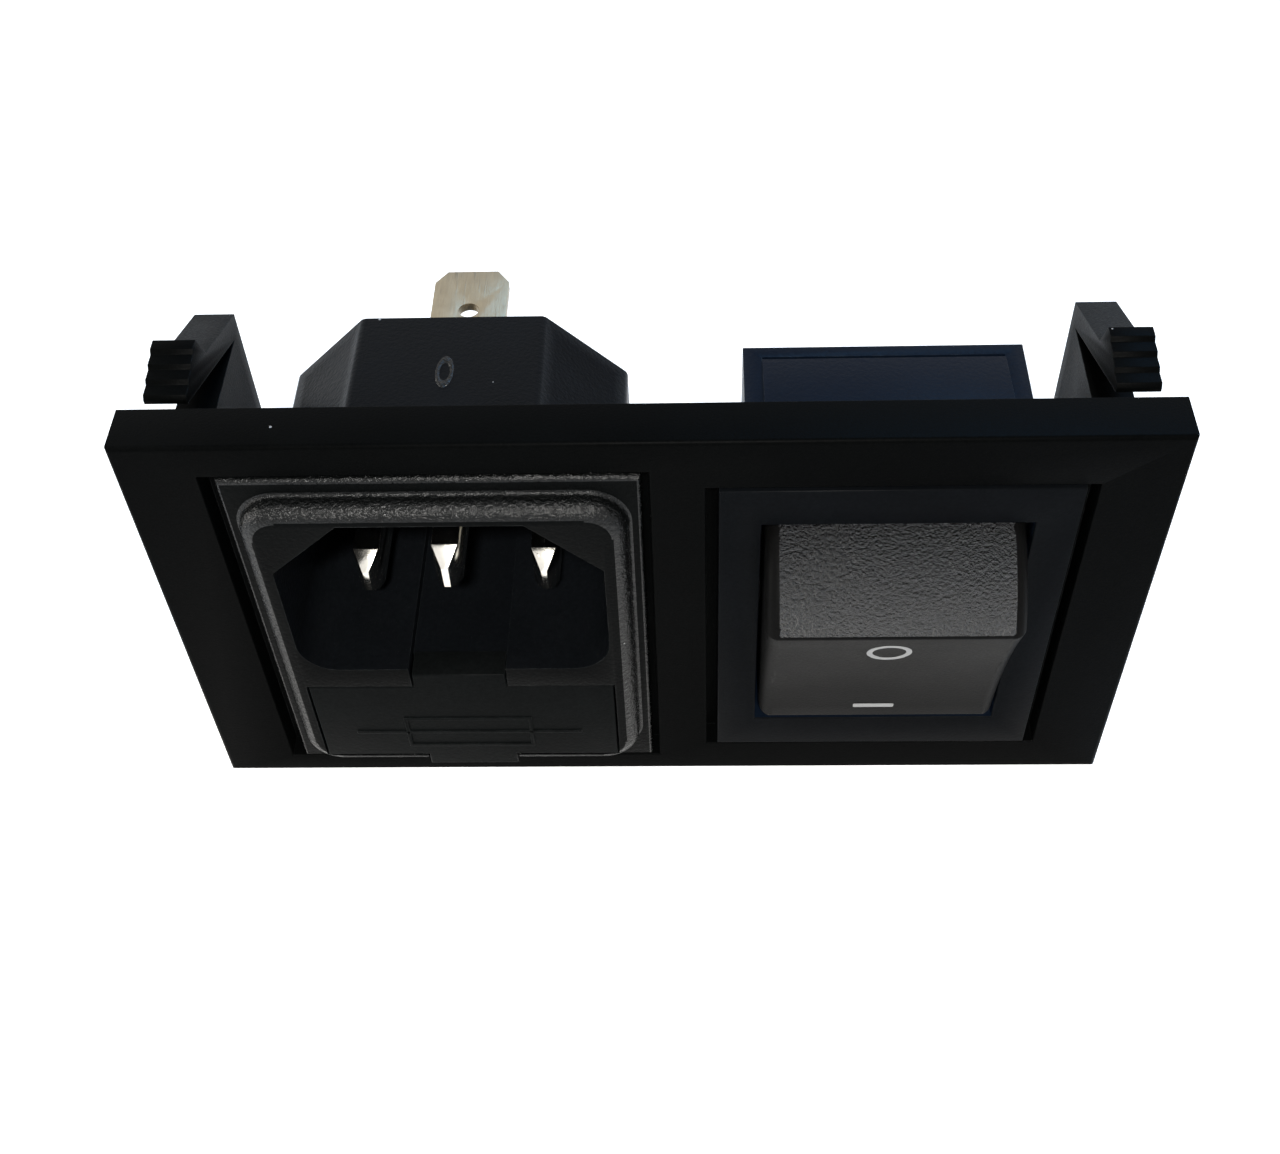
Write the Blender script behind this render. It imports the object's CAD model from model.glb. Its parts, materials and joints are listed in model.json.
# Power entry module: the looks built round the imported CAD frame. Sizes are written in millimetres.
import json
import math
import bmesh
import bpy
from mathutils import Matrix, Vector


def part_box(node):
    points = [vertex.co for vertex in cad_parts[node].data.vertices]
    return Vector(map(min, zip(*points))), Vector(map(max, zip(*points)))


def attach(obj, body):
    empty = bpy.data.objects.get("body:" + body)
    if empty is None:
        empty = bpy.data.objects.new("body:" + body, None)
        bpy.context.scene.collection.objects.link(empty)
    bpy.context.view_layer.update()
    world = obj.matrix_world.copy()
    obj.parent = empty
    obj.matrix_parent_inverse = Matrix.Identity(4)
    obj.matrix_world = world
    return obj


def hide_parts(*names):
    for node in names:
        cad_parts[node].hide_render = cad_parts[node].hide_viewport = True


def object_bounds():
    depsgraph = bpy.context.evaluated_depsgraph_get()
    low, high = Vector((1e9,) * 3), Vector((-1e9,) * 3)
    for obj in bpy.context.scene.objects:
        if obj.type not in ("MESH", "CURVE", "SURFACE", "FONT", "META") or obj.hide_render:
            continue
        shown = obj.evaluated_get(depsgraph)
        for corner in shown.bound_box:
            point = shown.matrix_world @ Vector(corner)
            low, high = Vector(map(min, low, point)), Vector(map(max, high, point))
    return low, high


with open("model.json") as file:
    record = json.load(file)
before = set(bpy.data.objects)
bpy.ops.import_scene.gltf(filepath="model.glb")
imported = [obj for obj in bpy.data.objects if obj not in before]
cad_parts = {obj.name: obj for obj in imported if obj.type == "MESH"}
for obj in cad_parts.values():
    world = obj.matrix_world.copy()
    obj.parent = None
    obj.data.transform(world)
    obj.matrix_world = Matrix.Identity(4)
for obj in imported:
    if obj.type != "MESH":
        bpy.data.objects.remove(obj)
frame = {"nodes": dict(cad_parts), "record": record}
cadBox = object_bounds()
mm = 0.001

# The same camera as the photograph's, in millimetres, degrees and the lens's own millimetres
view = {"place": (3.410, -82.206, 98.677), "turn": (40.12283, 1.84172, 0.91469), "lens": 45.607,
        "sensor": 36.0, "near": 2.0}

camera = bpy.data.objects.new("camera", bpy.data.cameras.new("camera"))
bpy.context.scene.collection.objects.link(camera)
camera.location = Vector(view["place"]) * mm
camera.rotation_euler = [math.radians(angle) for angle in view["turn"]]
camera.data.lens = view["lens"]
camera.data.sensor_width = view["sensor"]
camera.data.clip_start = view["near"] * mm
bpy.context.scene.camera = camera
bpy.context.scene.view_settings.view_transform = "Standard"
print("camera ready")

# Small helpers for selecting and shaping


def deselectAll():
    if bpy.context.object and bpy.context.object.mode != "OBJECT":
        bpy.ops.object.mode_set(mode="OBJECT")
    bpy.ops.object.select_all(action="DESELECT")


def pick(piece):
    deselectAll()
    piece.select_set(True)
    bpy.context.view_layer.objects.active = piece


def selectFaces(piece, test):
    # test gets each face's middle and normal in millimetres
    mesh = bmesh.from_edit_mesh(piece.data)
    mesh.select_mode = {"FACE"}
    for face in mesh.faces:
        face.select_set(bool(test(face.calc_center_median() / mm, face.normal)))
    mesh.select_flush_mode()
    bmesh.update_edit_mesh(piece.data)


def applyModifier(piece, kind, **settings):
    pick(piece)
    modifier = piece.modifiers.new(kind.lower(), kind)
    for key, value in settings.items():
        setattr(modifier, key, value)
    bpy.ops.object.modifier_apply(modifier=modifier.name)


def moveVertices(piece, test, offset):
    # offset in millimetres; test gets each vertex's place in millimetres
    pick(piece)
    bpy.ops.object.mode_set(mode="EDIT")
    mesh = bmesh.from_edit_mesh(piece.data)
    for vertex in mesh.verts:
        vertex.select_set(bool(test(vertex.co / mm)))
    mesh.select_flush(True)
    bmesh.update_edit_mesh(piece.data)
    bpy.ops.transform.translate(value=Vector(offset) * mm)
    bpy.ops.mesh.select_all(action="DESELECT")
    bpy.ops.object.mode_set(mode="OBJECT")


def bevelEdges(piece, width, segments, test, sharp=35):
    # rounds the sharp edges whose two ends pass the test, in millimetres
    pick(piece)
    bpy.ops.object.mode_set(mode="EDIT")
    bpy.ops.mesh.select_all(action="DESELECT")
    bpy.ops.mesh.select_mode(type="EDGE")
    mesh = bmesh.from_edit_mesh(piece.data)
    found = 0
    for edge in mesh.edges:
        turned = len(edge.link_faces) == 2 and edge.calc_face_angle(0) > math.radians(sharp)
        if turned and all(test(vertex.co / mm) for vertex in edge.verts):
            edge.select_set(True)
            found += 1
    bmesh.update_edit_mesh(piece.data)
    if found:
        bpy.ops.mesh.bevel(offset=width * mm, segments=segments, profile=0.5, clamp_overlap=True)
    bpy.ops.mesh.select_all(action="DESELECT")
    bpy.ops.object.mode_set(mode="OBJECT")
    print(piece.name, "rounded", found, "edges")


def giveFaces(piece, index, test):
    # gives the faces that pass the test the piece's material of that index
    pick(piece)
    bpy.ops.object.mode_set(mode="EDIT")
    bpy.ops.mesh.select_all(action="DESELECT")
    selectFaces(piece, test)
    piece.active_material_index = index
    bpy.ops.object.material_slot_assign()
    bpy.ops.mesh.select_all(action="DESELECT")
    bpy.ops.object.mode_set(mode="OBJECT")


def smoothEdges(piece, angle=32):
    pick(piece)
    bpy.ops.object.shade_smooth_by_angle(angle=math.radians(angle))


def bakePlace(piece):
    # the finished piece's object sits at the origin, with its place in its mesh
    pick(piece)
    bpy.ops.object.transform_apply(location=True, rotation=True, scale=True)


# How a CAD node's copy is cleaned: points merged within so many millimetres, faces within so many degrees
clean = {"merge": 0.002, "flat": 0.6}


def copyOfNode(node, name):
    # the node's mesh as a new piece, made whole from its loose triangles
    piece = bpy.data.objects.new(name, frame["nodes"][node].data.copy())
    bpy.context.scene.collection.objects.link(piece)
    piece.data.materials.clear()
    pick(piece)
    if piece.data.has_custom_normals:
        bpy.ops.mesh.customdata_custom_splitnormals_clear()
    bpy.ops.object.mode_set(mode="EDIT")
    bpy.ops.mesh.select_all(action="SELECT")
    bpy.ops.mesh.remove_doubles(threshold=clean["merge"] * mm)
    bpy.ops.mesh.dissolve_limited(angle_limit=math.radians(clean["flat"]))
    bpy.ops.mesh.normals_make_consistent(inside=False)
    bpy.ops.object.mode_set(mode="OBJECT")
    return piece


# Node groups that several finishes share


def newGroup(name, inputs, outputs):
    group = bpy.data.node_groups.new(name, "ShaderNodeTree")
    for label, kind, value in inputs:
        socket = group.interface.new_socket(label, in_out="INPUT", socket_type=kind)
        socket.default_value = value
    for label, kind in outputs:
        group.interface.new_socket(label, in_out="OUTPUT", socket_type=kind)
    return group, group.nodes.new("NodeGroupInput"), group.nodes.new("NodeGroupOutput")


def addNode(tree, kind, links=(), **values):
    # links are (input, source socket); values are set on the node or on its inputs
    node = tree.nodes.new(kind)
    for key, value in values.items():
        if hasattr(node, key):
            setattr(node, key, value)
        else:
            node.inputs[key.replace("_", " ")].default_value = value
    for target, source in links:
        tree.links.new(source, node.inputs[target])
    return node


def addMath(tree, operation, first, second=None, clamp=False):
    node = tree.nodes.new("ShaderNodeMath")
    node.operation = operation
    node.use_clamp = clamp
    for socket, value in zip(node.inputs, (first, second)):
        if value is None:
            continue
        if isinstance(value, (int, float)):
            socket.default_value = value
        else:
            tree.links.new(value, socket)
    return node.outputs[0]


def addMix(tree, factor, first, second):
    # mixes two colours; each may be a colour or a socket
    node = tree.nodes.new("ShaderNodeMix")
    node.data_type = "RGBA"
    for socket, value in ((node.inputs[0], factor), (node.inputs[6], first), (node.inputs[7], second)):
        if isinstance(value, (int, float, tuple, list)):
            socket.default_value = value
        else:
            tree.links.new(value, socket)
    return node.outputs[2]


def makeGrainGroup():
    # fine moulded or cast grain with a slow drift of colour and gloss under it
    driftScale = 140.0
    lightGain = 1.6
    group, entry, leave = newGroup("mouldedGrain", [
        ("Base", "NodeSocketColor", (0.02, 0.02, 0.02, 1)),
        ("Light", "NodeSocketColor", (0.05, 0.05, 0.05, 1)),
        ("Size", "NodeSocketFloat", 6000.0),
        ("Rough", "NodeSocketFloat", 0.5),
        ("Spread", "NodeSocketFloat", 0.1),
    ], [("Color", "NodeSocketColor"), ("Roughness", "NodeSocketFloat"), ("Height", "NodeSocketFloat")])
    place = addNode(group, "ShaderNodeTexCoord").outputs["Object"]
    fine = addNode(group, "ShaderNodeTexNoise", [("Vector", place), ("Scale", entry.outputs["Size"])],
                   Detail=3.0, Roughness=0.6)
    drift = addNode(group, "ShaderNodeTexNoise", [("Vector", place)],
                    Scale=driftScale, Detail=4.0, Roughness=0.55)
    both = addMath(group, "MULTIPLY", fine.outputs["Fac"], drift.outputs["Fac"])
    share = addMath(group, "MULTIPLY", both, lightGain, clamp=True)
    colour = addMix(group, share, entry.outputs["Base"], entry.outputs["Light"])
    group.links.new(colour, leave.inputs["Color"])
    spread = entry.outputs["Spread"]
    swing = addMath(group, "MULTIPLY", addMath(group, "SUBTRACT", drift.outputs["Fac"], 0.5), spread)
    small = addMath(group, "MULTIPLY", addMath(group, "SUBTRACT", fine.outputs["Fac"], 0.5), spread)
    rough = addMath(group, "ADD", addMath(group, "ADD", entry.outputs["Rough"], swing), small, clamp=True)
    group.links.new(rough, leave.inputs["Roughness"])
    group.links.new(fine.outputs["Fac"], leave.inputs["Height"])
    return group


def makeWearGroup():
    # a broken line of wear where a surface turns sharply
    lumpScale = 900.0
    lumpStart = 0.35
    lumpGain = 2.5
    group, entry, leave = newGroup("edgeWear", [
        ("Radius", "NodeSocketFloat", 0.0002),
        ("Amount", "NodeSocketFloat", 4.0),
    ], [("Mask", "NodeSocketFloat")])
    place = addNode(group, "ShaderNodeTexCoord").outputs["Object"]
    rounded = addNode(group, "ShaderNodeBevel", [("Radius", entry.outputs["Radius"])], samples=4)
    flat = addNode(group, "ShaderNodeNewGeometry")
    alike = addNode(group, "ShaderNodeVectorMath", operation="DOT_PRODUCT")
    group.links.new(rounded.outputs[0], alike.inputs[0])
    group.links.new(flat.outputs["Normal"], alike.inputs[1])
    turn = addMath(group, "SUBTRACT", 1.0, alike.outputs["Value"])
    broken = addNode(group, "ShaderNodeTexNoise", [("Vector", place)],
                     Scale=lumpScale, Detail=4.0, Roughness=0.7)
    over = addMath(group, "SUBTRACT", broken.outputs["Fac"], lumpStart)
    lumps = addMath(group, "MULTIPLY", over, lumpGain, clamp=True)
    strong = addMath(group, "MULTIPLY", turn, entry.outputs["Amount"])
    group.links.new(addMath(group, "MULTIPLY", strong, lumps, clamp=True), leave.inputs["Mask"])
    return group


def makeDustGroup():
    # a few pale specks, some millimetres apart
    cellScale = 420.0
    speckRadius = 0.045
    group, entry, leave = newGroup("dustSpecks", [("Share", "NodeSocketFloat", 0.2)],
                                   [("Mask", "NodeSocketFloat")])
    place = addNode(group, "ShaderNodeTexCoord").outputs["Object"]
    cells = addNode(group, "ShaderNodeTexVoronoi", [("Vector", place)], Scale=cellScale)
    near = addMath(group, "LESS_THAN", cells.outputs["Distance"], speckRadius)
    tone = addNode(group, "ShaderNodeSeparateColor", [("Color", cells.outputs["Color"])])
    few = addMath(group, "LESS_THAN", tone.outputs[0], entry.outputs["Share"])
    group.links.new(addMath(group, "MULTIPLY", near, few), leave.inputs["Mask"])
    return group


def makeScratchGroup():
    # rolling marks drawn out along Y, and a few deeper cuts across them
    rolled = (5200, 500, 5200)
    cutTurn = (0.4, 0.3, 0.9)
    cutScale = (4200, 260, 4200)
    cutStart = 0.6
    cutGain = 6.0
    group, entry, leave = newGroup("drawnMarks", [("Strength", "NodeSocketFloat", 0.3)],
                                   [("Mask", "NodeSocketFloat"), ("Height", "NodeSocketFloat")])
    place = addNode(group, "ShaderNodeTexCoord").outputs["Object"]
    drawn = addNode(group, "ShaderNodeMapping", [("Vector", place)])
    drawn.inputs["Scale"].default_value = rolled
    marks = addNode(group, "ShaderNodeTexNoise", [("Vector", drawn.outputs[0])],
                    Scale=1.0, Detail=5.0, Roughness=0.65)
    turned = addNode(group, "ShaderNodeMapping", [("Vector", place)])
    turned.inputs["Rotation"].default_value = cutTurn
    turned.inputs["Scale"].default_value = cutScale
    cuts = addNode(group, "ShaderNodeTexNoise", [("Vector", turned.outputs[0])], Scale=1.0, Detail=2.0)
    over = addMath(group, "SUBTRACT", cuts.outputs["Fac"], cutStart)
    deep = addMath(group, "MULTIPLY", over, cutGain, clamp=True)
    both = addMath(group, "ADD", marks.outputs["Fac"], deep)
    mask = addMath(group, "MULTIPLY", both, entry.outputs["Strength"], clamp=True)
    group.links.new(mask, leave.inputs["Mask"])
    group.links.new(both, leave.inputs["Height"])
    return group


grainGroup = makeGrainGroup()
wearGroup = makeWearGroup()
dustGroup = makeDustGroup()
scratchGroup = makeScratchGroup()


def placeGroup(tree, group, **values):
    node = tree.nodes.new("ShaderNodeGroup")
    node.node_tree = group
    for key, value in values.items():
        node.inputs[key].default_value = value
    return node


def startMaterial(name):
    material = bpy.data.materials.new(name)
    material.use_nodes = True
    tree = material.node_tree
    shader = tree.nodes["Principled BSDF"]
    return material, tree, shader


def grey(level, tint=(1.0, 1.0, 1.0)):
    return (level * tint[0], level * tint[1], level * tint[2], 1.0)


# What all plastics share: the colour of a dust speck and the shine of a rubbed edge
dustColour = grey(0.3)
rubbedRough = 0.22


def plastic(name, look):
    material, tree, shader = startMaterial(name)
    grain = placeGroup(tree, grainGroup, Base=look["base"], Light=look["light"], Size=look["grain"],
                       Rough=look["rough"], Spread=look["spread"])
    wear = placeGroup(tree, wearGroup, Radius=look["wearWidth"] * mm, Amount=look["wear"])
    dust = placeGroup(tree, dustGroup, Share=look["dust"])
    worn = addMix(tree, wear.outputs["Mask"], grain.outputs["Color"], look["wornColour"])
    dusty = addMix(tree, dust.outputs["Mask"], worn, dustColour)
    tree.links.new(dusty, shader.inputs["Base Color"])
    tree.links.new(grain.outputs["Roughness"], shader.inputs["Roughness"])
    bump = addNode(tree, "ShaderNodeBump", [("Height", grain.outputs["Height"])],
                   Distance=look["depth"] * mm)
    bump.inputs["Strength"].default_value = look["bump"]
    tree.links.new(bump.outputs[0], shader.inputs["Normal"])
    shader.inputs["Specular IOR Level"].default_value = look["gloss"]
    tree.links.new(wear.outputs["Mask"], shader.inputs["Coat Weight"])
    shader.inputs["Coat Roughness"].default_value = rubbedRough
    return material


def metal(name, look):
    material, tree, shader = startMaterial(name)
    marks = placeGroup(tree, scratchGroup, Strength=look["marks"])
    grain = placeGroup(tree, grainGroup, Base=look["base"], Light=look["light"], Size=look["grain"],
                       Rough=look["rough"], Spread=look["spread"])
    tree.links.new(addMix(tree, marks.outputs["Mask"], grain.outputs["Color"], look["markColour"]),
                   shader.inputs["Base Color"])
    rough = addMath(tree, "ADD", grain.outputs["Roughness"],
                    addMath(tree, "MULTIPLY", marks.outputs["Mask"], look["markRough"]), clamp=True)
    tree.links.new(rough, shader.inputs["Roughness"])
    height = addMath(tree, "ADD", marks.outputs["Height"], grain.outputs["Height"])
    bump = addNode(tree, "ShaderNodeBump", [("Height", height)], Distance=look["depth"] * mm)
    bump.inputs["Strength"].default_value = look["bump"]
    tree.links.new(bump.outputs[0], shader.inputs["Normal"])
    shader.inputs["Metallic"].default_value = look["metallic"]
    return material


# Looks: "base" and "light" are the colours that the grain mixes, "grain" is how fine it is, "spread" how much
# the gloss drifts, "wear" how much the edges are rubbed, "dust" the share of specks and "depth" the grain's
# depth in millimetres; "gloss" is the specular level
blackTint = (0.86, 1.0, 1.02)
navyTint = (0.8, 0.95, 1.15)
blueTint = (0.4, 0.75, 1.5)
ivoryTint = (1.0, 0.97, 0.9)
# What the black mouldings have in common
moulded = {"spread": 0.2, "wear": 1.5, "wearWidth": 0.12, "wornColour": grey(0.05, blackTint)}
plasticLooks = {
    "bezelPlastic": {**moulded, "base": grey(0.0009, blackTint), "light": grey(0.0025, blackTint),
                     "grain": 5200, "rough": 0.42, "spread": 0.25, "wear": 1.2,
                     "wornColour": grey(0.04, blackTint), "dust": 0.04, "depth": 0.03, "bump": 0.6, "gloss": 0.012},
    "inletPlastic": {**moulded, "base": grey(0.0015, blackTint), "light": grey(0.004, blackTint),
                     "grain": 3000, "rough": 0.24, "spread": 0.25, "wear": 1.2, "dust": 0.1, "depth": 0.14,
                     "bump": 1.0, "gloss": 0.22},
    "inletFlatPlastic": {**moulded, "base": grey(0.0015, blackTint), "light": grey(0.004, blackTint),
                         "grain": 3000, "rough": 0.34, "spread": 0.25, "wear": 1.2, "dust": 0.08,
                         "depth": 0.06, "bump": 0.8, "gloss": 0.02},
    "switchRearPlastic": {**moulded, "base": grey(0.007, blueTint), "light": grey(0.01, blueTint),
                          "grain": 3000, "rough": 0.34, "dust": 0.08, "depth": 0.05, "bump": 0.7,
                          "gloss": 0.03},
    "inletRearPlastic": {**moulded, "base": grey(0.003, navyTint), "light": grey(0.007, navyTint),
                         "grain": 3000, "rough": 0.34, "dust": 0.08, "depth": 0.05, "bump": 0.7,
                         "gloss": 0.02},
    "drawerPlastic": {**moulded, "base": grey(0.003, blackTint), "light": grey(0.008, blackTint),
                      "grain": 3400, "rough": 0.36, "wornColour": grey(0.06, blackTint), "dust": 0.06,
                      "depth": 0.04, "bump": 0.6, "gloss": 0.014},
    "switchPlastic": {**moulded, "base": grey(0.0028, navyTint), "light": grey(0.0065, navyTint),
                      "grain": 4200, "rough": 0.34, "dust": 0.05, "depth": 0.03, "bump": 0.5, "gloss": 0.014},
    "rockerFace": {**moulded, "base": grey(0.003), "light": grey(0.006), "grain": 5200, "rough": 0.42,
                   "wear": 1.0, "wearWidth": 0.2, "wornColour": grey(0.06), "dust": 0.02, "depth": 0.03,
                   "bump": 0.5, "gloss": 0.03},
    "rockerGrain": {"base": grey(0.003), "light": grey(0.015), "grain": 4200, "rough": 0.24, "spread": 0.3,
                    "wear": 0.0, "wearWidth": 0.1, "wornColour": grey(0.1), "dust": 0.0, "depth": 1.3,
                    "bump": 1.0, "gloss": 0.95},
    "nylon": {"base": grey(0.62, ivoryTint), "light": grey(0.74, ivoryTint), "grain": 4000, "rough": 0.45,
              "spread": 0.15, "wear": 0.5, "wearWidth": 0.1, "wornColour": grey(0.8), "dust": 0.0,
              "depth": 0.02, "bump": 0.4, "gloss": 0.5},
    "printWhite": {"base": grey(0.3), "light": grey(0.45), "grain": 5000, "rough": 0.55, "spread": 0.2,
                   "wear": 0.0, "wearWidth": 0.1, "wornColour": grey(0.5), "dust": 0.0, "depth": 0.01,
                   "bump": 0.3, "gloss": 0.2},
}
steelTint = (0.97, 1.0, 1.03)
metalLooks = {
    "nickelPin": {"base": grey(0.8, (1.0, 0.96, 0.86)), "light": grey(0.95, (1.0, 0.97, 0.9)), "grain": 1800,
                  "rough": 0.12, "spread": 0.1, "marks": 0.25, "markColour": grey(0.55, (1.0, 0.94, 0.84)),
                  "markRough": 0.12, "depth": 0.008, "bump": 0.5, "metallic": 1.0},
    "tinnedTab": {"base": grey(0.36, (1.0, 0.84, 0.58)), "light": grey(0.5, (1.0, 0.86, 0.62)), "grain": 900,
                  "rough": 0.42, "spread": 0.25, "marks": 0.6, "markColour": grey(0.17, (1.0, 0.88, 0.66)),
                  "markRough": 0.25, "depth": 0.03, "bump": 0.8, "metallic": 1.0},
    "contactCopper": {"base": (0.62, 0.3, 0.14, 1), "light": (0.82, 0.46, 0.25, 1), "grain": 1500,
                      "rough": 0.3, "spread": 0.25, "marks": 0.5, "markColour": (0.45, 0.22, 0.12, 1),
                      "markRough": 0.25, "depth": 0.02, "bump": 0.7, "metallic": 1.0},
    "contactSilver": {"base": grey(0.7), "light": grey(0.85), "grain": 2500, "rough": 0.32, "spread": 0.2,
                      "marks": 0.3, "markColour": grey(0.45), "markRough": 0.2, "depth": 0.01, "bump": 0.6,
                      "metallic": 1.0},
    "springSteel": {"base": grey(0.42, steelTint), "light": grey(0.58, steelTint), "grain": 3000,
                    "rough": 0.28, "spread": 0.2, "marks": 0.4, "markColour": grey(0.3), "markRough": 0.2,
                    "depth": 0.01, "bump": 0.6, "metallic": 1.0},
    "fuseMetal": {"base": grey(0.66, (1.0, 0.99, 0.96)), "light": grey(0.82), "grain": 2000, "rough": 0.2,
                  "spread": 0.15, "marks": 0.25, "markColour": grey(0.5), "markRough": 0.2, "depth": 0.01,
                  "bump": 0.5, "metallic": 1.0},
}
finish = {name: plastic(name, look) for name, look in plasticLooks.items()}
finish.update({name: metal(name, look) for name, look in metalLooks.items()})


glassLook = {"scale": 260.0, "rough": 0.08, "green": (0.9, 0.95, 0.95, 1), "clear": (0.98, 1, 1, 1),
             "ior": 1.5}


def fuseGlassMaterial():
    material, tree, shader = startMaterial("fuseGlass")
    place = addNode(tree, "ShaderNodeTexCoord").outputs["Object"]
    drift = addNode(tree, "ShaderNodeTexNoise", [("Vector", place)], Scale=glassLook["scale"], Detail=3.0)
    rough = addMath(tree, "MULTIPLY", drift.outputs["Fac"], glassLook["rough"])
    tree.links.new(rough, shader.inputs["Roughness"])
    colour = addMix(tree, drift.outputs["Fac"], glassLook["green"], glassLook["clear"])
    tree.links.new(colour, shader.inputs["Base Color"])
    shader.inputs["Transmission Weight"].default_value = 1.0
    shader.inputs["IOR"].default_value = glassLook["ior"]
    return material


finish["fuseGlass"] = fuseGlassMaterial()
print("finishes ready")

# CAD nodes that keep their own mesh
plainNodes = {
    "fuse_glass": "fuseGlass", "spare_fuse_glass": "fuseGlass", "fuse_caps": "fuseMetal",
    "spare_fuse_caps": "fuseMetal", "fuse_wire": "fuseMetal", "spare_fuse_wire": "fuseMetal",
    "left_plunger": "nylon", "right_plunger": "nylon", "left_plunger_spring": "springSteel",
    "right_plunger_spring": "springSteel", "left_contact_blade": "contactCopper",
    "right_contact_blade": "contactCopper", "left_moving_contact": "contactSilver",
    "right_moving_contact": "contactSilver", "left_fixed_contact": "contactSilver",
    "right_fixed_contact": "contactSilver",
}
for node, material in plainNodes.items():
    cadMesh = frame["nodes"][node].data
    cadMesh.materials.clear()
    cadMesh.materials.append(finish[material])

# Moulded and stamped pieces that stand for a CAD node: its mesh made whole, with its sharp edges broken.
# "rims" are planes across Y, in millimetres, whose edges get their own rounding before the rest.
dressed = {
    "bezel": {"piece": "bezelMoulding", "finish": "bezelPlastic", "edge": 0.06, "rims": [(-4.0, 0.12)],
              "slot": "bezel_plastic"},
    "inlet_housing": {"piece": "inletMoulding", "finish": "inletPlastic", "edge": 0.08,
                      "rims": [(-4.15, 0.3), (-6.0, 0.16)], "slot": "inlet_plastic"},
    "inlet_rear_cover": {"piece": "inletCover", "finish": "inletPlastic", "edge": 0.1,
                         "slot": "inlet_plastic"},
    "fuse_drawer": {"piece": "drawerMoulding", "finish": "drawerPlastic", "edge": 0.06,
                    "rims": [(-6.0, 0.14)], "slot": "drawer_plastic"},
    "switch_housing": {"piece": "switchMoulding", "finish": "switchPlastic", "edge": 0.08,
                       "rims": [(-4.15, 0.12)], "slot": "switch_plastic"},
    "switch_base": {"piece": "switchBaseMoulding", "finish": "switchPlastic", "edge": 0.1,
                    "slot": "switch_plastic"},
    "rocker": {"piece": "rockerMoulding", "finish": "rockerFace", "edge": 0.06, "slot": "rocker_plastic"},
}
pinNodes = {"earth_pin": "earthPinBlade", "line_pin": "linePinBlade", "neutral_pin": "neutralPinBlade"}
tabNodes = {
    "line_tab": "lineTabBlade", "left_common_terminal": "leftCommonTab",
    "right_common_terminal": "rightCommonTab", "left_fixed_terminal": "leftFixedTab",
    "right_fixed_terminal": "rightFixedTab",
}
for node, name in pinNodes.items():
    dressed[node] = {"piece": name, "finish": "nickelPin", "edge": 0.05, "slot": "plated_pin"}
for node, name in tabNodes.items():
    dressed[node] = {"piece": name, "finish": "tinnedTab", "edge": 0.05, "slot": "tinned_tab"}
bodyOf = {node: body for body, nodes in frame["record"]["behaviour"]["bodies"].items() for node in nodes}
# The pins' tips: where the taper starts behind the tip, how much shorter it gets, how far the tip's upper
# edge drops, and the height that parts that edge from the lower one
pinTip = {"taper": 2.6, "shorter": 1.1, "drop": 0.4,
          "middle": {"earth_pin": 6.0, "line_pin": 2.0, "neutral_pin": 2.0}}


def sharpenPin(piece, node):
    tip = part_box(node)[0].y / mm
    half = pinTip["taper"] / 2
    middle = pinTip["middle"][node]
    moveVertices(piece, lambda at: abs(at.y - tip - pinTip["taper"]) < 0.1, (0, -pinTip["shorter"], 0))
    moveVertices(piece, lambda at: abs(at.y - tip - half) < 0.1, (0, -pinTip["shorter"] / 2, 0))
    moveVertices(piece, lambda at: abs(at.y - tip) < 0.05 and at.z > middle, (0, 0, -pinTip["drop"]))


# A shallow plain field in each of the inlet's two upper chamfers behind the plate
chamferField = {"rim": 1.1, "sunk": 0.1, "above": 8, "behind": 2, "slope": 0.707}


def panelChamfers(piece):
    def onChamfer(at, normal):
        slope = chamferField["slope"]
        leans = abs(abs(normal.x) - slope) < 0.02 and abs(normal.z - slope) < 0.02
        return leans and at.z > chamferField["above"] and at.y > chamferField["behind"]

    pick(piece)
    bpy.ops.object.mode_set(mode="EDIT")
    bpy.ops.mesh.select_all(action="DESELECT")
    selectFaces(piece, onChamfer)
    bpy.ops.mesh.inset(thickness=chamferField["rim"] * mm, depth=-chamferField["sunk"] * mm,
                       use_individual=True)
    bpy.ops.mesh.select_all(action="DESELECT")
    bpy.ops.object.mode_set(mode="OBJECT")


pieces = {}
for node, plan in dressed.items():
    piece = copyOfNode(node, plan["piece"])
    if node in pinNodes:
        sharpenPin(piece, node)
    if node == "inlet_housing":
        panelChamfers(piece)
    for plane, width in plan.get("rims", []):
        bevelEdges(piece, width, 3, lambda at: abs(at.y - plane) < 0.02)
    bevelEdges(piece, plan["edge"], 2, lambda at: True)
    piece.data.materials.append(finish[plan["finish"]])
    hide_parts(node)
    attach(piece, bodyOf[node])
    pieces[node] = piece

# Where each moulding changes its finish, in millimetres along Y: "front" parts the mouldings' front and rear
# inside the plate, and "tab" is where the pins' tabs start; "flat" and "under" are how far a face's normal
# points forwards or down
split = {"front": -1.9, "tab": 10.5, "flat": 0.97, "under": 0.3}


def addFinish(piece, name, test):
    # the faces that pass the test get one more finish
    piece.data.materials.append(finish[name])
    giveFaces(piece, len(piece.data.materials) - 1, test)


def flatInFront(at, normal):
    return at.y <= split["front"] and (normal.y < -split["flat"] or normal.z < -split["under"])


# The inlet is duller behind the plate, and in front only its rounded and upper faces shine
addFinish(pieces["inlet_housing"], "inletRearPlastic", lambda at, normal: at.y > split["front"])
addFinish(pieces["inlet_housing"], "inletFlatPlastic", flatInFront)

# The switch's body is bluer behind the plate
addFinish(pieces["switch_housing"], "switchRearPlastic", lambda at, normal: at.y > split["front"])

# The pins' tabs behind are dull tin; their blades are bright nickel
for node in ("earth_pin", "neutral_pin"):
    addFinish(pieces[node], "tinnedTab", lambda at, normal: at.y > split["tab"])

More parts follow.
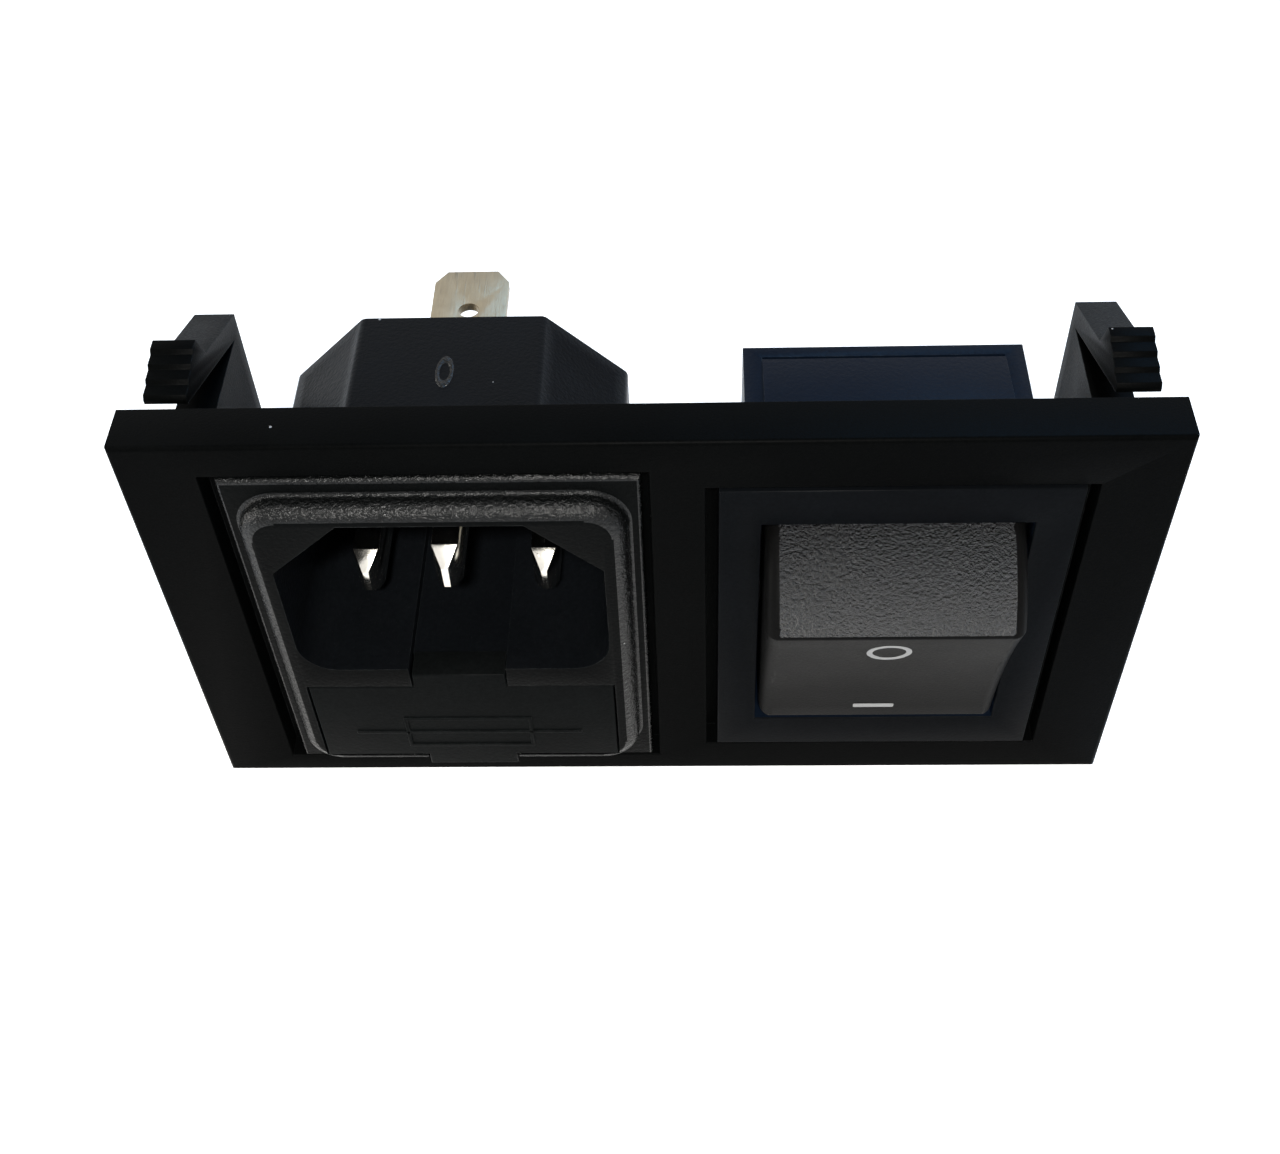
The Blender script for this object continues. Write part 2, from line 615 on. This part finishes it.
# The rocker: coarse grain on its round flanks, plain satin on its face and its turned-down sides
joints = {joint["name"]: joint for joint in frame["record"]["behaviour"]["joints"]}
rockerJoint = joints["rocker_tilt"]
rockerTurn = math.radians(rockerJoint["range_deg"][1] / 2)
pivot = Vector(rockerJoint["pos_m"]) / mm
# The grained area in the rocker's own frame: past this reach, this near its middle and behind this front
flank = {"reach": 11.45, "side": 8.5, "front": -8.2}


def rockerPlace(at):
    # a place in the rocker's own frame, in millimetres, face towards negative Y
    apart = at - pivot
    across = math.cos(rockerTurn)
    along = math.sin(rockerTurn)
    return Vector((apart.x, apart.y * across + apart.z * along, apart.z * across - apart.y * along))


def onFlank(at, normal):
    own = rockerPlace(at)
    reach = math.hypot(own.y, own.z)
    return reach > flank["reach"] and abs(own.x) < flank["side"] and own.y > flank["front"]


addFinish(pieces["rocker"], "rockerGrain", onFlank)
for piece in pieces.values():
    smoothEdges(piece)
print("moulded pieces ready")

# Marks printed on the rocker's face: a ring and a bar, made flat and laid on the face
marks = {"ring": {"x": -0.17, "z": 4.56, "outer": 1.68, "line": 0.42},
         "bar": {"x": -0.32, "z": -6.15, "long": 3.25, "high": 0.5, "corner": 0.12},
         "thick": 0.03, "lift": 0.005, "standOff": 10.5}


def layOnRocker(piece, x, z):
    # stands the flat piece in front of the face, turns it with the rocker and lays it on
    bakePlace(piece)
    place = Matrix.Translation(pivot * mm) @ Matrix.Rotation(rockerTurn, 4, "X")
    place = place @ Matrix.Translation(Vector((x, -marks["standOff"], z)) * mm)
    piece.matrix_world = place @ Matrix.Rotation(math.radians(90), 4, "X")
    bakePlace(piece)
    applyModifier(piece, "SHRINKWRAP", target=pieces["rocker"], wrap_method="NEAREST_SURFACEPOINT",
                  wrap_mode="ON_SURFACE", offset=marks["lift"] * mm)
    applyModifier(piece, "SOLIDIFY", thickness=marks["thick"] * mm, offset=1.0)
    piece.data.materials.append(finish["printWhite"])
    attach(piece, "rocker_lever")
    smoothEdges(piece)


deselectAll()
bpy.ops.mesh.primitive_circle_add(vertices=96, radius=marks["ring"]["outer"] * mm, fill_type="NGON")
ring = bpy.context.object
ring.name = "offRing"
bpy.ops.object.mode_set(mode="EDIT")
bpy.ops.mesh.select_all(action="SELECT")
bpy.ops.mesh.inset(thickness=marks["ring"]["line"] * mm)
bpy.ops.mesh.delete(type="FACE")
bpy.ops.object.mode_set(mode="OBJECT")
layOnRocker(ring, marks["ring"]["x"], marks["ring"]["z"])

deselectAll()
bpy.ops.mesh.primitive_plane_add(size=1)
bar = bpy.context.object
bar.name = "onBar"
bar.scale = (marks["bar"]["long"] * mm, marks["bar"]["high"] * mm, 1)
bpy.ops.object.transform_apply(scale=True)
bpy.ops.object.mode_set(mode="EDIT")
bpy.ops.mesh.select_all(action="SELECT")
bpy.ops.mesh.bevel(offset=marks["bar"]["corner"] * mm, segments=3, affect="VERTICES")
bpy.ops.object.mode_set(mode="OBJECT")
layOnRocker(bar, marks["bar"]["x"], marks["bar"]["z"])
print("rocker's marks ready")

# The fuse symbol, raised on the drawer's face: a long line through a box
symbol = {"left": -20.6, "right": -10.1, "top": -9.3, "bottom": -13.35, "lineLeft": -24.7, "lineRight": -6.1,
          "lineZ": -11.3, "width": 0.32, "rise": 0.12, "face": -6.0, "sunk": 0.02, "edge": 0.05}


def flatBar(name, left, right, bottom, top):
    # a flat bar that lies just inside the drawer's face
    deselectAll()
    bpy.ops.mesh.primitive_plane_add(size=1)
    piece = bpy.context.object
    piece.name = name
    piece.scale = ((right - left) * mm, (top - bottom) * mm, 1)
    bpy.ops.object.transform_apply(scale=True)
    piece.rotation_euler = (math.radians(90), 0, 0)
    piece.location = Vector(((left + right) / 2, symbol["face"] + symbol["sunk"], (bottom + top) / 2)) * mm
    bakePlace(piece)
    return piece


def raiseFromFace(piece):
    # pulls the flat shape out of the face and rounds its front edges
    rise = (0, -(symbol["rise"] + symbol["sunk"]) * mm, 0)
    pick(piece)
    bpy.ops.object.mode_set(mode="EDIT")
    bpy.ops.mesh.select_all(action="SELECT")
    bpy.ops.mesh.extrude_region_move(TRANSFORM_OT_translate={"value": rise})
    bpy.ops.mesh.select_all(action="SELECT")
    bpy.ops.mesh.normals_make_consistent(inside=False)
    bpy.ops.object.mode_set(mode="OBJECT")
    bevelEdges(piece, symbol["edge"], 2, lambda at: at.y < symbol["face"] - symbol["edge"])
    piece.data.materials.append(finish["drawerPlastic"])
    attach(piece, "drawer")
    smoothEdges(piece)


box = flatBar("fuseSymbolBox", symbol["left"], symbol["right"], symbol["bottom"], symbol["top"])
bpy.ops.object.mode_set(mode="EDIT")
bpy.ops.mesh.select_all(action="SELECT")
bpy.ops.mesh.inset(thickness=symbol["width"] * mm)
bpy.ops.mesh.delete(type="FACE")
bpy.ops.object.mode_set(mode="OBJECT")
raiseFromFace(box)
half = symbol["width"] / 2
line = flatBar("fuseSymbolLine", symbol["lineLeft"], symbol["lineRight"], symbol["lineZ"] - half,
               symbol["lineZ"] + half)
raiseFromFace(line)
print("fuse symbol ready")

# The moulding's gate mark on top of the rear body: a small upright oval with a sunk middle
gate = {"x": -15.6, "y": 8.85, "wide": 0.55, "long": 1.35, "line": 0.16, "flat": 0.5, "behind": 2}
deselectAll()
bpy.ops.mesh.primitive_torus_add(major_segments=40, minor_segments=10, major_radius=gate["wide"] * mm,
                                 minor_radius=gate["line"] * mm)
mark = bpy.context.object
mark.name = "gateMark"
mark.scale = (1, gate["long"] / gate["wide"], gate["flat"])
inletPoints = [vertex.co for vertex in pieces["inlet_housing"].data.vertices]
bodyTop = max(point.z for point in inletPoints if point.y > gate["behind"] * mm)
mark.location = (gate["x"] * mm, gate["y"] * mm, bodyTop)
bakePlace(mark)
mark.data.materials.append(finish["inletPlastic"])
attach(mark, "module")
smoothEdges(mark, 60)
print("gate mark ready")

# The stage: a white floor under the plate, and a white surround
stage = {"floorSize": 3.0, "floorDrop": 0.05, "floorColour": 0.82, "floorRough": 0.9, "floorGloss": 0.1,
         "floorGlow": 0.6, "skyLevel": 0.12}


def seenByCamera(tree):
    # one for what the camera sees, also by way of metal and glass
    rays = addNode(tree, "ShaderNodeLightPath")
    mirrored = addMath(tree, "MAXIMUM", rays.outputs["Is Glossy Ray"], rays.outputs["Is Transmission Ray"])
    return addMath(tree, "MAXIMUM", rays.outputs["Is Camera Ray"], mirrored)


floorLevel = cadBox[0].z - stage["floorDrop"] * mm
bpy.ops.mesh.primitive_plane_add(size=stage["floorSize"], location=(0, 0, floorLevel))
floor = bpy.context.object
floor.name = "floor"
floorMaterial, tree, shader = startMaterial("floorWhite")
shader.inputs["Base Color"].default_value = grey(stage["floorColour"])
shader.inputs["Roughness"].default_value = stage["floorRough"]
shader.inputs["Specular IOR Level"].default_value = stage["floorGloss"]
shader.inputs["Emission Color"].default_value = (1, 1, 1, 1)
glow = addMath(tree, "MULTIPLY", seenByCamera(tree), stage["floorGlow"])
tree.links.new(glow, shader.inputs["Emission Strength"])
floor.data.materials.append(floorMaterial)

world = bpy.data.worlds.new("surround")
bpy.context.scene.world = world
world.use_nodes = True
tree = world.node_tree
sky = tree.nodes["Background"]
sky.inputs["Color"].default_value = (1, 1, 1, 1)
shown = addMath(tree, "MULTIPLY", seenByCamera(tree), 1 - stage["skyLevel"])
level = addMath(tree, "ADD", stage["skyLevel"], shown)
tree.links.new(level, sky.inputs["Strength"])

# Lamps: place and aim in millimetres, size in millimetres, power in watts
lamps = {
    "keyLamp": {"place": (10, -320, 385), "aim": (0, 0, 0), "size": (46, 30), "power": 2.7,
                "tint": (1, 0.98, 0.94)},
    "rearLamp": {"place": (230, 300, 390), "aim": (16, 8, 0), "size": (280, 180), "power": 1.5,
                 "tint": (0.22, 0.55, 1.0)},
    "leftLamp": {"place": (-460, 40, 120), "aim": (0, 8, 0), "size": (200, 200), "power": 1.8,
                 "tint": (1, 0.97, 0.92)},
}
for name, lamp in lamps.items():
    light = bpy.data.lights.new(name, "AREA")
    light.shape = "RECTANGLE"
    light.size = lamp["size"][0] * mm
    light.size_y = lamp["size"][1] * mm
    light.energy = lamp["power"]
    light.color = lamp["tint"]
    lampObject = bpy.data.objects.new(name, light)
    bpy.context.scene.collection.objects.link(lampObject)
    lampObject.location = Vector(lamp["place"]) * mm
    towards = Vector(lamp["aim"]) - Vector(lamp["place"])
    lampObject.rotation_euler = towards.to_track_quat("-Z", "Y").to_euler()
print("stage ready")
